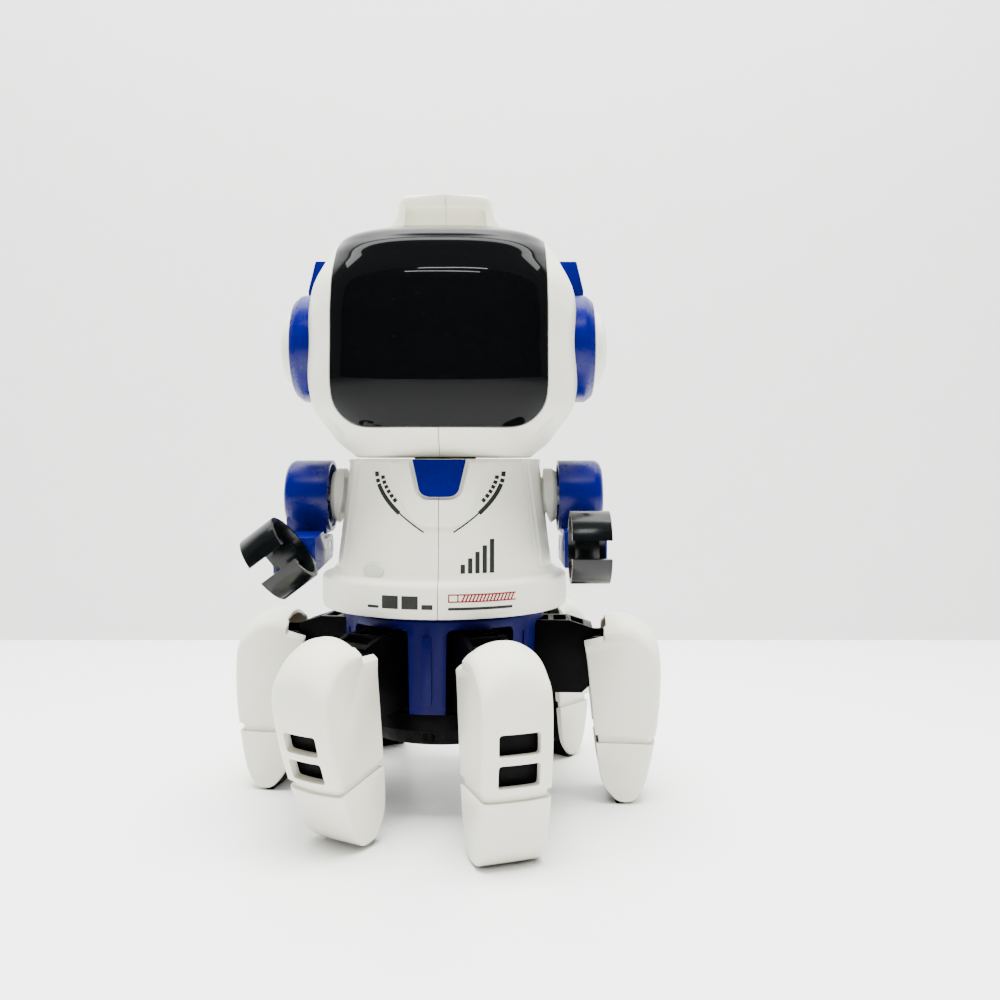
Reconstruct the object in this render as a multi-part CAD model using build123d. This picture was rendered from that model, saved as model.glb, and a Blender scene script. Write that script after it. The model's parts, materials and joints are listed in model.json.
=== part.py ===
from build123d import *
import os
from math import copysign, cos, pi, sin

# Walking robot toy: a humanoid upper body on a round pelvis with six legs.
# Millimetres, +Z up. The origin is on the floor, under the axis of the torso and pelvis.
# The robot faces -Y, so its own left side is +X.

# Head
HEAD_CENTRE_Y = -2.0
HEAD_MIDDLE_Z = 143.5
# Height, half width and half depth of the head's rounded sections, from the neck to the crown.
HEAD_SECTIONS = [
    (108.6, 27.5, 25.4),
    (112.8, 32.8, 30.7),
    (117.5, 36.4, 34.5),
    (123.2, 40.6, 37.0),
    (129.0, 42.1, 38.3),
    (143.5, 42.3, 38.6),
    (155.0, 42.1, 37.8),
    (161.8, 40.8, 36.3),
    (167.6, 38.0, 33.4),
    (173.0, 34.6, 29.6),
    (177.2, 30.6, 23.4),
    (179.7, 24.4, 15.0),
    (181.2, 17.0, 8.6),
]
HEAD_SQUARENESS = 2.7
HEAD_INNER_SCALE = 0.94
VISOR_HALF_WIDTH = 31.9
VISOR_TOP_HALF_WIDTH = 31.2
VISOR_BOTTOM_Z = 117.2
VISOR_BACK_Y = -11.0
HANDLE_BASE_WIDTH = 39.0
HANDLE_WAIST_WIDTH = 32.0
HANDLE_TOP_WIDTH = 28.0
HANDLE_TOP_Z = 194.5
HANDLE_Y = 7.0
HANDLE_DEPTH = 12.0
EAR_RADIUS = 17.0
EAR_CAP_RADIUS = 12.4
SEAM = 0.05

# Torso
TORSO_TOP_Z = 108.0
BELT_TOP_Z = 72.0
BELT_BOTTOM_Z = 62.0
NECK_RADIUS = 31.6
TORSO_BASE_RADIUS = 35.9
BELT_RADIUS = 39.2
SHELL_WALL = 2.0
NECK_BORE_RADIUS = 10.0
RUNNING_FIT = 0.05
SHOULDER_Z = 96.3
SHOULDER_CUP_RADIUS = 8.8
SHOULDER_CUP_END = 36.0

# Arms
ARM_INNER_X = 36.4
ARM_OUTER_X = 50.5
ARM_PAD_RADIUS = 11.4
ARM_MIDDLE_X = 43.3
ELBOW_Y = -2.0
ELBOW_Z = 80.5
WRIST_Z = 79.8
FOREARM_FRONT_Y = -27.4
CLAW_CENTRE_Y = -38.4
CLAW_ABOVE_WRIST = 3.0
CLAW_RADIUS = 10.4
CLAW_WALL = 1.5
CLAW_LENGTH = 11.0
CLAW_SLOT = 5.2
RIGHT_ELBOW_DROP = 4.0
RIGHT_CLAW_ROLL = -37.0

# Power: three AAA cells lying across the back of the torso
CELL_RADIUS = 5.2
CELL_Y = 15.8
CELL_HEIGHTS = (76.4, 86.9, 97.4)
DOOR_HALF_WIDTH = 25.0
DOOR_HEIGHTS = (74.0, 101.0)

# Drive
GEAR_MODULE = 0.5
GEAR_TEETH = 60
PINION_TEETH = 12
GEAR_Z = 67.6
GEAR_WIDTH = 3.0
SHAFT_RADIUS = 2.5
MOTOR_Y = -GEAR_MODULE * (GEAR_TEETH + PINION_TEETH) / 2

# Pelvis
PELVIS_YAW = -6.5
DRUM_TOP_Z = 61.0
DRUM_BOTTOM_Z = 33.0
DRUM_TOP_RADIUS = 32.0
DRUM_BOTTOM_RADIUS = 31.2
DRUM_SLOT_WIDTH = 21.4
DRUM_SLOT_TOP_Z = 57.9
BASE_BOTTOM_Z = 22.5
BASE_BOTTOM_RADIUS = 25.0
SCREW_SEAT_Z = 30.8
COLUMN_RADIUS = 5.0
WAIST_RADIUS = 8.0
BOSS_CIRCLE = 28.0

# Legs: three on carrier a and three on carrier b, turned apart by the walking swing.
TRIPOD_SWING = 4.0
LEG_PIVOT_RADIUS = 56.5
LEG_PIVOT_Z = 45.0
FOOT_RADIUS = 57.5
ARM_WIDTH = 13.2
ARM_TONGUE_WIDTH = 12.0
ARM_TOP_Z = 57.0
ARM_BOTTOM_Z = 34.2
ARM_START_RADIUS = 21.0
ARM_END_RADIUS = 47.5
LEG_WIDTH = 20.0
LEG_WALL = 1.6
LEG_PIN_RADIUS = 1.5
# Azimuth index round the pelvis and the inward tilt of each leg as it stands.
LEGS = {
    "leg_front_left": (0, 0.0),
    "leg_middle_left": (1, 1.5),
    "leg_rear_left": (2, 0.0),
    "leg_rear_right": (3, -1.0),
    "leg_middle_right": (4, 0.0),
    "leg_front_right": (5, 13.5),
}
# Side outline of a leg, outward from the foot's contact point and up from the floor.
LEG_OUTLINE = [
    (-13.0, 53.4),
    (-7.0, 55.2),
    (-6.8, 57.6),
    (-1.5, 58.7),
    (4.6, 57.0),
    (8.4, 54.0),
    (10.5, 50.4),
    (11.8, 44.5),
    (12.0, 37.2),
    (11.5, 28.0),
    (10.5, 19.0),
    (8.9, 10.5),
    (8.0, 6.4),
    (6.0, 2.9),
    (3.4, 1.2),
    (-1.0, 1.0),
    (-4.0, 3.8),
    (-6.0, 6.2),
    (-7.0, 9.1),
    (-8.5, 18.2),
    (-11.2, 38.0),
]
FOOT_GROOVE = (19.0, 21.6)
WINDOWS = ((22.9, 29.1), (31.2, 37.1))
WINDOW_HALF_WIDTH = 5.8


def span_box(low, high):
    """A box between two opposite corners."""
    size = [b - a for a, b in zip(low, high)]
    centre = [(a + b) / 2 for a, b in zip(low, high)]
    return Pos(*centre) * Box(*size)


def rod(radius, start, end, axis="Z", at=(0.0, 0.0)):
    """A cylinder along one axis, at two coordinates on the other axes in X, Y, Z order."""
    length = end - start
    middle = (start + end) / 2
    if axis == "X":
        return Pos(middle, *at) * Rot(0, 90, 0) * Cylinder(radius, length)
    if axis == "Y":
        return Pos(at[0], middle, at[1]) * Rot(90, 0, 0) * Cylinder(radius, length)
    return Pos(*at, middle) * Cylinder(radius, length)


def turned(profile):
    """A solid of revolution about Z from (radius, height) points."""
    outline = Polyline(*[(r, 0, z) for r, z in profile], close=True)
    return revolve(make_face(outline), Axis.Z, 360)


def turned_about_ear(profile):
    """A solid of revolution about the ear's axis from (x, radius) points."""
    outline = Polyline(*[(x, 0, r) for x, r in profile], close=True)
    return Pos(0, HEAD_CENTRE_Y, HEAD_MIDDLE_Z) * revolve(make_face(outline), Axis.X, 360)


def prism(points, half_thickness, middle=0.0):
    """A prism across X from (y, z) points."""
    outline = Polyline(*[(middle - half_thickness, y, z) for y, z in points], close=True)
    return extrude(make_face(outline), amount=2 * half_thickness, dir=(1, 0, 0))


def side_prism(points, half_thickness):
    """A prism across Y from (x, z) points."""
    outline = Polyline(*[(x, -half_thickness, z) for x, z in points], close=True)
    return extrude(make_face(outline), amount=2 * half_thickness, dir=(0, 1, 0))


def mirrored(shape):
    """The same piece on the robot's right side."""
    return mirror(shape, about=Plane.YZ)


def ring_of(shape, angles):
    """Copies of a shape turned about the central axis."""
    return [Rot(0, 0, angle) * shape for angle in angles]


def largest(shape):
    """The biggest solid of a cut, without loose slivers."""
    return shape.solids().sort_by(SortBy.VOLUME)[-1]


def solids(*shapes):
    """Separate solids that share one node."""
    return Compound(children=[s for shape in shapes for s in shape.solids()])


# ---------------------------------------------------------------- head


def head_section(z, half_width, half_depth):
    points = []
    for step in range(32):
        angle = 2 * pi * step / 32
        c = cos(angle)
        s = sin(angle)
        x = half_width * copysign(abs(c) ** (2 / HEAD_SQUARENESS), c)
        y = half_depth * copysign(abs(s) ** (2 / HEAD_SQUARENESS), s)
        points.append((x, HEAD_CENTRE_Y + y, z))
    return make_face(Spline(*points, periodic=True))


def head_solid(scale=1.0):
    """The head's outer form, or the same form shrunk about its middle."""
    sections = []
    for z, half_width, half_depth in HEAD_SECTIONS:
        height = HEAD_MIDDLE_Z + (z - HEAD_MIDDLE_Z) * scale
        sections.append(head_section(height, half_width * scale, half_depth * scale))
    return loft(sections)


def visor_window(grow):
    """The opening for the visor, as a prism through the front and crown of the head."""
    low = VISOR_BOTTOM_Z - grow
    half = VISOR_HALF_WIDTH + grow
    top_half = VISOR_TOP_HALF_WIDTH + grow
    outline = Polyline(
        (-half + 1.6, -70, low),
        (half - 1.6, -70, low),
        (half, -70, low + 14),
        (half, -70, low + 36),
        (top_half, -70, 176),
        (top_half - 3, -70, 200),
        (-top_half + 3, -70, 200),
        (-top_half, -70, 176),
        (-half, -70, low + 36),
        (-half, -70, low + 14),
        close=True,
    )
    window = extrude(make_face(outline), amount=70 + VISOR_BACK_Y + grow, dir=(0, 1, 0))
    corners = window.edges().filter_by(Axis.Y).sort_by(Axis.Z)[:2]
    return fillet(corners, 9.5)


def handle():
    """Carry handle moulded on the crown, with a flared foot and a shallow recess in its front."""
    base = HANDLE_BASE_WIDTH / 2
    top = HANDLE_TOP_WIDTH / 2
    front = HANDLE_Y - HANDLE_DEPTH / 2
    waist = HANDLE_WAIST_WIDTH / 2
    outline = Polyline(
        (-base - 1.5, front, 172),
        (base + 1.5, front, 172),
        (base, front, 180.5),
        (waist, front, 186.5),
        (top, front, HANDLE_TOP_Z),
        (-top, front, HANDLE_TOP_Z),
        (-waist, front, 186.5),
        (-base, front, 180.5),
        close=True,
    )
    body = extrude(make_face(outline), amount=HANDLE_DEPTH, dir=(0, 1, 0))
    upper = body.edges().filter_by(Axis.Y).sort_by(Axis.Z)[-2:]
    body = fillet(upper, 3.0)
    recess = Polyline(
        (-14.0, front - 1, 176), (14.0, front - 1, 176),
        (12.4, front - 1, 191.4), (-12.4, front - 1, 191.4), close=True
    )
    return body - extrude(make_face(recess), amount=3.6, dir=(0, 1, 0))


def head_pieces():
    outer = head_solid()
    inner = head_solid(HEAD_INNER_SCALE)
    wall = outer - inner
    visor = wall & visor_window(-0.12)
    casing = wall + (handle() - inner - outer)
    casing -= visor_window(0.0)
    casing -= rod(NECK_BORE_RADIUS + 0.3, 105, 113)
    ear_seat = rod(EAR_RADIUS - 1.4, 39.4, 50, "X", (HEAD_CENTRE_Y, HEAD_MIDDLE_Z))
    casing -= ear_seat
    casing -= mirrored(ear_seat)
    left = casing & span_box((SEAM, -80, 100), (80, 80, 200))
    right = casing & span_box((-80, -80, 100), (-SEAM, 80, 200))

    ring = turned_about_ear(
        [(39.5, 0), (39.5, EAR_RADIUS - 1.5), (41.0, EAR_RADIUS - 1.5), (41.0, EAR_RADIUS),
         (44.8, EAR_RADIUS), (46.4, EAR_RADIUS - 0.8), (47.2, EAR_RADIUS - 2.2),
         (47.5, EAR_CAP_RADIUS + 0.2), (44.6, EAR_CAP_RADIUS + 0.2), (44.6, 0)]
    )
    ring_plug = rod(EAR_RADIUS - 1.45, 39, 50, "X", (HEAD_CENTRE_Y, HEAD_MIDDLE_Z))
    head_side = Pos(0.08, 0, 0) * outer - ring_plug
    right_head_side = Pos(-0.08, 0, 0) * outer - mirrored(ring_plug)
    cap = turned_about_ear(
        [(44.7, 0), (44.7, EAR_CAP_RADIUS), (47.6, EAR_CAP_RADIUS), (49.6, 10.9),
         (51.0, 8.4), (51.8, 5.0), (52.1, 0)]
    )
    fin = side_prism([(37, 161.2), (45.3, 161.2), (45.3, 163.6), (43.0, 173.2), (37, 173.2)], 4.5)
    fin = Pos(0, 8.5, 0) * fin
    fin_left = largest(fin - head_side)
    fin_right = largest(mirrored(fin) - right_head_side)

    board = span_box((-21, -27.4, 134), (21, -26.0, 160))
    for x in (-12, 12):
        board += rod(3.0, -30.6, -27.0, "Y", (x, 148))
    speaker = rod(12, 22, 25, "Y", (0, 136)) + rod(8, 19, 22, "Y", (0, 136))
    post = rod(NECK_BORE_RADIUS - RUNNING_FIT, 103.2, 112.5)
    post += rod(13, 103.2, 105.4)
    post += rod(13, 110.9, 112.5)
    post -= rod(7.5, 100, 115)
    return {
        "head_shell_left": left,
        "head_shell_right": right,
        "visor": visor,
        "ear_ring_left": ring - head_side,
        "ear_ring_right": mirrored(ring) - right_head_side,
        "ear_cap_left": cap,
        "ear_cap_right": mirrored(cap),
        "ear_fin_left": fin_left,
        "ear_fin_right": fin_right,
        "eye_light_board": board,
        "speaker": speaker,
        "neck_post": post,
    }


# ---------------------------------------------------------------- torso


def torso_radius(z):
    share = (z - BELT_TOP_Z) / (TORSO_TOP_Z - BELT_TOP_Z)
    return TORSO_BASE_RADIUS + share * (NECK_RADIUS - TORSO_BASE_RADIUS)


def torso_outer():
    return turned(
        [(0, BELT_BOTTOM_Z), (BELT_RADIUS - 1.0, BELT_BOTTOM_Z), (BELT_RADIUS, BELT_BOTTOM_Z + 1.2),
         (BELT_RADIUS, BELT_TOP_Z - 1.4), (BELT_RADIUS - 1.4, BELT_TOP_Z),
         (TORSO_BASE_RADIUS, BELT_TOP_Z), (torso_radius(90), 90),
         (NECK_RADIUS, TORSO_TOP_Z), (0, TORSO_TOP_Z)]
    )


def torso_inner():
    wall = SHELL_WALL
    return turned(
        [(0, BELT_BOTTOM_Z - 1), (BELT_RADIUS - wall, BELT_BOTTOM_Z - 1),
         (BELT_RADIUS - wall, BELT_TOP_Z - wall), (TORSO_BASE_RADIUS - wall, BELT_TOP_Z - wall),
         (NECK_RADIUS - wall, TORSO_TOP_Z - wall), (0, TORSO_TOP_Z - wall)]
    )


def insert_outline(grow):
    """Trapezoid of the blue chest insert, as a prism through the front wall."""
    top = 7.8 + grow
    low = 5.1 + grow
    bottom = 97.2 - grow
    outline = Polyline(
        (-top, -60, TORSO_TOP_Z), (-low, -60, bottom), (low, -60, bottom), (top, -60, TORSO_TOP_Z),
        close=True,
    )
    block = extrude(make_face(outline), amount=60, dir=(0, 1, 0))
    return fillet(block.edges().filter_by(Axis.Y).sort_by(Axis.Z)[:2], 2.2)


def button_shape(grow, start, end):
    """Oval touch button over the belt, along the radius it points out on."""
    face = make_face(Ellipse(3.9 + grow, 2.1 + grow))
    body = extrude(face, amount=end - start)
    return Rot(0, 0, -33) * Pos(0, -start, 75.2) * Rot(90, 0, 0) * body


def motor():
    can = span_box((-10, MOTOR_Y - 7.5, 73.0), (10, MOTOR_Y + 7.5, 97.0))
    can = fillet(can.edges().filter_by(Axis.Z), 5.0)
    can += rod(3.0, 71.8, 73.2, at=(0, MOTOR_Y))
    can += rod(1.0, 67.0, 72, at=(0, MOTOR_Y))
    return can + rod(3.0, 96.8, 98.4, at=(0, MOTOR_Y))


def gear(teeth, bore, width, turn=0.0):
    """Spur gear with straight-sided teeth slim enough to leave running backlash."""
    pitch_radius = GEAR_MODULE * teeth / 2
    root_radius = pitch_radius - 1.25 * GEAR_MODULE
    tip_radius = pitch_radius + 0.9 * GEAR_MODULE
    root_half = 0.27 * pi * GEAR_MODULE
    tip_half = 0.12 * pi * GEAR_MODULE
    wheel = Cylinder(root_radius, width)
    tooth = extrude(
        make_face(
            Polyline(
                (root_radius - 0.3, -root_half), (tip_radius, -tip_half),
                (tip_radius, tip_half), (root_radius - 0.3, root_half), close=True,
            )
        ),
        amount=width / 2,
        both=True,
    )
    wheel = wheel.fuse(*ring_of(tooth, [turn + 360 * i / teeth for i in range(teeth)]))
    return wheel - Cylinder(bore, width + 1)


def torso_pieces():
    wall = torso_outer() - torso_inner()
    wall -= insert_outline(0.12)
    wall -= button_shape(0.12, 30, 40)
    wall -= rod(NECK_BORE_RADIUS, 100, 110)
    cup_seat = rod(6.0, 30, 40, "X", (0, SHOULDER_Z))
    wall -= cup_seat
    wall -= mirrored(cup_seat)
    low, high = DOOR_HEIGHTS
    door_space = span_box((-DOOR_HALF_WIDTH, 18, low), (DOOR_HALF_WIDTH, 60, high))
    door = wall & span_box(
        (-DOOR_HALF_WIDTH + 0.2, 18, low + 0.2), (DOOR_HALF_WIDTH - 0.2, 60, high - 0.2)
    )
    wall -= door_space
    switch_slot = span_box((-4.2, 20, 102.2), (4.2, 40, 105.0))
    wall -= switch_slot
    left = wall & span_box((SEAM, -60, 60), (60, 60, 110))
    right = wall & span_box((-60, -60, 60), (-SEAM, 60, 110))

    insert = (torso_outer() - torso_inner()) & insert_outline(0.0)
    insert -= rod(NECK_BORE_RADIUS + 6, 100, 110)

    floor = rod(torso_radius(BELT_TOP_Z) - 2.4, 63.0, 65.0) - rod(WAIST_RADIUS + RUNNING_FIT, 60, 70)
    cup = turned([(0, 0), (SHOULDER_CUP_RADIUS, 0), (SHOULDER_CUP_RADIUS, 4.6), (7.6, 6.0), (0, 6.0)])
    cup = Pos(SHOULDER_CUP_END - 6.0, 0, SHOULDER_Z) * Rot(0, 90, 0) * cup
    cup -= torso_outer() - rod(5.9, 28, 40, "X", (0, SHOULDER_Z))
    cup -= rod(3.0 + RUNNING_FIT, 20, 40, "X", (0, SHOULDER_Z))
    cup = largest(cup)

    bracket = span_box((-14, MOTOR_Y - 8, 70.9), (14, MOTOR_Y + 4, 71.7))
    for x in (-11.5, 11.5):
        bracket += rod(1.8, 65.0, 71, at=(x, MOTOR_Y - 5.5))
    bracket -= rod(3.2, 70, 73, at=(0, MOTOR_Y))
    bracket += span_box((-14, MOTOR_Y - 8.0, 71.7), (-10.4, MOTOR_Y + 4, 76))
    bracket += span_box((10.4, MOTOR_Y - 8.0, 71.7), (14, MOTOR_Y + 4, 76))
    cells = []
    contacts = []
    for z in CELL_HEIGHTS:
        cell = rod(CELL_RADIUS, -21.6, 21.6, "X", (CELL_Y, z))
        cells.append(cell + rod(1.9, 21.5, 22.4, "X", (CELL_Y, z)))
        for x in (-22.2, 22.9):
            contacts.append(span_box((x - 0.2, CELL_Y - 3.6, z - 4), (x + 0.2, CELL_Y + 3.6, z + 4)))
    board = span_box((-22, 6.0, 74), (22, 7.4, 102))
    switch = span_box((-1.5, 27.0, 102.5), (2.5, 33.6, 104.7))
    return {
        "torso_shell_left": left,
        "torso_shell_right": right,
        "torso_floor": floor,
        "chest_insert": insert,
        "shoulder_cup_left": cup,
        "shoulder_cup_right": mirrored(cup),
        "battery_door": door,
        "batteries": solids(*cells),
        "battery_contacts": solids(*contacts),
        "control_board": board,
        "drive_motor": motor() - rod(1.02, 66, 71.6, at=(0, MOTOR_Y)),
        "motor_bracket": bracket,
        "touch_button": button_shape(0.0, 33.9, 36.1),
        "power_switch": switch,
    }


def drive_pieces():
    middle = GEAR_Z + GEAR_WIDTH / 2
    shaft = rod(SHAFT_RADIUS, BASE_BOTTOM_Z + 0.6, 74.0)
    shaft += rod(9.0, 30.6, 32.4)
    shaft += rod(1.2, 32.3, 33.8, at=(0, 7.0))
    wheel = Pos(0, 0, middle) * gear(GEAR_TEETH, SHAFT_RADIUS + 0.01, GEAR_WIDTH)
    half_pitch = 180 / PINION_TEETH
    pinion = Pos(0, MOTOR_Y, middle) * gear(PINION_TEETH, 0.6, GEAR_WIDTH + 0.6, 90 + half_pitch)
    return {
        "drive_shaft": shaft,
        "drive_gear": wheel,
        "motor_pinion": pinion,
    }


# ---------------------------------------------------------------- arms


def arm_pieces():
    """The left arm, hanging with the forearm forward."""
    half = (ARM_OUTER_X - ARM_INNER_X) / 2
    middle = (ARM_OUTER_X + ARM_INNER_X) / 2
    pad = rod(ARM_PAD_RADIUS, ARM_INNER_X, ARM_OUTER_X, "X", (0, SHOULDER_Z))
    rim = pad.edges().filter_by(GeomType.CIRCLE).sort_by(Axis.X)[-1]
    pad = fillet(rim, 3.0)
    pad -= rod(ARM_PAD_RADIUS - 1.2, ARM_INNER_X - 1, ARM_INNER_X + 3.0, "X", (0, SHOULDER_Z))
    shank = prism([(-6.5, 92), (-5.2, ELBOW_Z), (1.2, ELBOW_Z), (6.5, 92)], 2.5, ARM_MIDDLE_X)
    shank += rod(3.2, ARM_MIDDLE_X - 2.5, ARM_MIDDLE_X + 2.5, "X", (ELBOW_Y, ELBOW_Z))
    skirt = prism([(-9.0, 89.5), (-7.4, 84.4), (5.5, 84.4), (8.0, 89.5)], half - 0.8, middle)
    upper = pad + shank + (skirt - rod(9.0, 30, 60, "X", (0, SHOULDER_Z)) - pad)
    upper -= rod(3.02, ARM_INNER_X - 2, ARM_INNER_X + 9.0, "X", (0, SHOULDER_Z))
    upper -= rod(1.5 + RUNNING_FIT, 30, 60, "X", (ELBOW_Y, ELBOW_Z))
    shoulder_pin = rod(3.0, 31.0, ARM_INNER_X + 8.8, "X", (0, SHOULDER_Z))

    low = 75.6
    high = 86.4
    width = 6.3
    front = FOREARM_FRONT_Y
    forearm = prism(
        [(front, low), (front, high), (-13.2, high), (-12.0, 83.4), (2.6, 83.4),
         (4.2, 81.6), (4.2, 77.6), (2.4, low), (-13.2, low)],
        width, ARM_MIDDLE_X,
    )
    forearm += rod(2.9, ARM_MIDDLE_X - width, ARM_MIDDLE_X + width, "X", (ELBOW_Y, ELBOW_Z))
    forearm -= span_box((ARM_MIDDLE_X - 2.8, -8.6, 70), (ARM_MIDDLE_X + 2.8, 6, 90))
    forearm -= rod(1.52, 30, 60, "X", (ELBOW_Y, ELBOW_Z))
    forearm -= rod(2.5 + RUNNING_FIT, front - 1, front + 9, "Y", (ARM_MIDDLE_X, WRIST_Z))
    elbow_pin = rod(1.5, ARM_MIDDLE_X - 6.2, ARM_MIDDLE_X + 6.2, "X", (ELBOW_Y, ELBOW_Z))

    claw_z = WRIST_Z + CLAW_ABOVE_WRIST
    ends = (ARM_MIDDLE_X - CLAW_LENGTH / 2, ARM_MIDDLE_X + CLAW_LENGTH / 2)
    claw = rod(CLAW_RADIUS, *ends, "X", (CLAW_CENTRE_Y, claw_z))
    claw -= rod(CLAW_RADIUS - CLAW_WALL, 20, 60, "X", (CLAW_CENTRE_Y, claw_z))
    slot_low = claw_z - CLAW_SLOT / 2
    claw -= span_box((20, CLAW_CENTRE_Y - 20, slot_low), (60, CLAW_CENTRE_Y, slot_low + CLAW_SLOT))
    for jaw in (-1, 1):
        lip_low = claw_z + jaw * (CLAW_SLOT / 2 + 0.8) - 0.8
        lip = span_box(
            (ends[0], CLAW_CENTRE_Y - CLAW_RADIUS + 0.6, lip_low),
            (ends[1], CLAW_CENTRE_Y - CLAW_RADIUS + 4.2, lip_low + 1.6),
        )
        claw += lip & rod(CLAW_RADIUS - 0.1, *ends, "X", (CLAW_CENTRE_Y, claw_z))
    palm = span_box(
        (ends[0] + 2, CLAW_CENTRE_Y + 6.2, claw_z - 4.5), (ends[1] - 2, FOREARM_FRONT_Y - 0.25, claw_z + 2)
    )
    claw += palm & rod(CLAW_RADIUS + 0.4, *ends, "X", (CLAW_CENTRE_Y, claw_z))
    claw += rod(2.5, FOREARM_FRONT_Y - 2.4, FOREARM_FRONT_Y + 8, "Y", (ARM_MIDDLE_X, WRIST_Z))
    return {
        "upper_arm": upper,
        "shoulder_pin": shoulder_pin,
        "forearm": forearm,
        "elbow_pin": elbow_pin,
        "claw": claw,
    }


def both_arms():
    left = arm_pieces()
    pieces = {f"{name}_left": shape for name, shape in left.items()}
    elbow = Pos(0, ELBOW_Y, ELBOW_Z)
    wrist = Pos(-ARM_MIDDLE_X, 0, WRIST_Z)
    for name, shape in left.items():
        right = mirrored(shape)
        if name == "claw":
            right = wrist * Rot(0, RIGHT_CLAW_ROLL, 0) * wrist.inverse() * right
        if name in ("claw", "forearm", "elbow_pin"):
            right = elbow * Rot(RIGHT_ELBOW_DROP, 0, 0) * elbow.inverse() * right
        pieces[f"{name}_right"] = right
    return pieces


# ---------------------------------------------------------------- pelvis


def azimuth(angle):
    """Turn from +X to a direction measured from the robot's front towards its left."""
    return angle - 90


def leg_azimuth(index):
    swing = -TRIPOD_SWING if index % 2 == 0 else TRIPOD_SWING
    return azimuth(PELVIS_YAW + 30 + 60 * index + swing)


def pelvis_pieces():
    wall = SHELL_WALL
    drum = turned(
        [(WAIST_RADIUS + 0.2, DRUM_TOP_Z), (DRUM_TOP_RADIUS - 0.8, DRUM_TOP_Z),
         (DRUM_TOP_RADIUS, DRUM_TOP_Z - 0.8), (DRUM_BOTTOM_RADIUS, DRUM_BOTTOM_Z),
         (DRUM_BOTTOM_RADIUS - wall, DRUM_BOTTOM_Z), (DRUM_TOP_RADIUS - wall, DRUM_TOP_Z - wall),
         (WAIST_RADIUS + 0.2, DRUM_TOP_Z - wall)]
    )
    half = DRUM_SLOT_WIDTH / 2
    slot = span_box((20, -half, DRUM_BOTTOM_Z - 1), (40, half, DRUM_SLOT_TOP_Z))
    slot = fillet(slot.edges().filter_by(Axis.X).sort_by(Axis.Z)[-2:], 1.8)
    slot_angles = [azimuth(PELVIS_YAW + 30 + 60 * i) for i in range(6)]
    for cut in ring_of(slot, slot_angles):
        drum -= cut
    column_angles = [azimuth(PELVIS_YAW + 60 * i) for i in range(6)]
    rib = span_box((DRUM_BOTTOM_RADIUS - 0.8, -1.4, DRUM_BOTTOM_Z + 3), (DRUM_TOP_RADIUS + 0.3, 1.4, 56))
    boss = rod(2.4, DRUM_BOTTOM_Z, DRUM_TOP_Z - 1, at=(BOSS_CIRCLE, 0))
    hole = rod(0.95, DRUM_BOTTOM_Z - 1, DRUM_BOTTOM_Z + 9, at=(BOSS_CIRCLE, 0))
    for part in ring_of(rib, column_angles) + ring_of(boss, column_angles[::2]):
        drum += part
    for cut in ring_of(hole, column_angles[::2]):
        drum -= cut

    base = turned(
        [(SHAFT_RADIUS + RUNNING_FIT, BASE_BOTTOM_Z), (BASE_BOTTOM_RADIUS, BASE_BOTTOM_Z),
         (DRUM_BOTTOM_RADIUS - 0.6, BASE_BOTTOM_Z + 5.5), (DRUM_BOTTOM_RADIUS - 0.6, DRUM_BOTTOM_Z - 0.1),
         (DRUM_BOTTOM_RADIUS - 6.0, DRUM_BOTTOM_Z - 0.1), (DRUM_BOTTOM_RADIUS - 6.0, BASE_BOTTOM_Z + 2.4),
         (5.0, BASE_BOTTOM_Z + 2.4), (SHAFT_RADIUS + RUNNING_FIT, BASE_BOTTOM_Z + 2.4)]
    )
    screw_hole = rod(1.1, 20, 40, at=(BOSS_CIRCLE, 0)) + rod(2.1, 20, SCREW_SEAT_Z, at=(BOSS_CIRCLE, 0))
    screw = rod(0.9, SCREW_SEAT_Z - 0.1, DRUM_BOTTOM_Z + 7.9, at=(BOSS_CIRCLE, 0))
    screw += rod(1.9, SCREW_SEAT_Z - 1.3, SCREW_SEAT_Z, at=(BOSS_CIRCLE, 0))
    screw -= span_box((BOSS_CIRCLE - 1.2, -0.25, 20), (BOSS_CIRCLE + 1.2, 0.25, SCREW_SEAT_Z - 0.7))
    for cut in ring_of(screw_hole, column_angles[::2]):
        base -= cut
    screws = ring_of(screw, column_angles[::2])

    column = rod(COLUMN_RADIUS, 33.9, 58.0)
    column += rod(12.0, 57.2, 58.9)
    column += rod(WAIST_RADIUS, 57.2, 66.8)
    column -= turned([(WAIST_RADIUS - 0.9, 65.5), (WAIST_RADIUS + 2, 65.5), (WAIST_RADIUS + 2, 66.4),
                      (WAIST_RADIUS - 0.9, 66.4)])
    column -= rod(SHAFT_RADIUS + RUNNING_FIT, 30, 70)
    clip = rod(WAIST_RADIUS + 1.8, 65.55, 66.35) - rod(WAIST_RADIUS - 0.85, 60, 70)
    clip -= span_box((-2.5, 0, 60), (2.5, 20, 70))
    return {
        "pelvis_drum": drum,
        "base_plate": base,
        "base_screws": solids(*screws),
        "centre_column": column,
        "waist_clip": clip,
    }


# ---------------------------------------------------------------- legs


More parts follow.
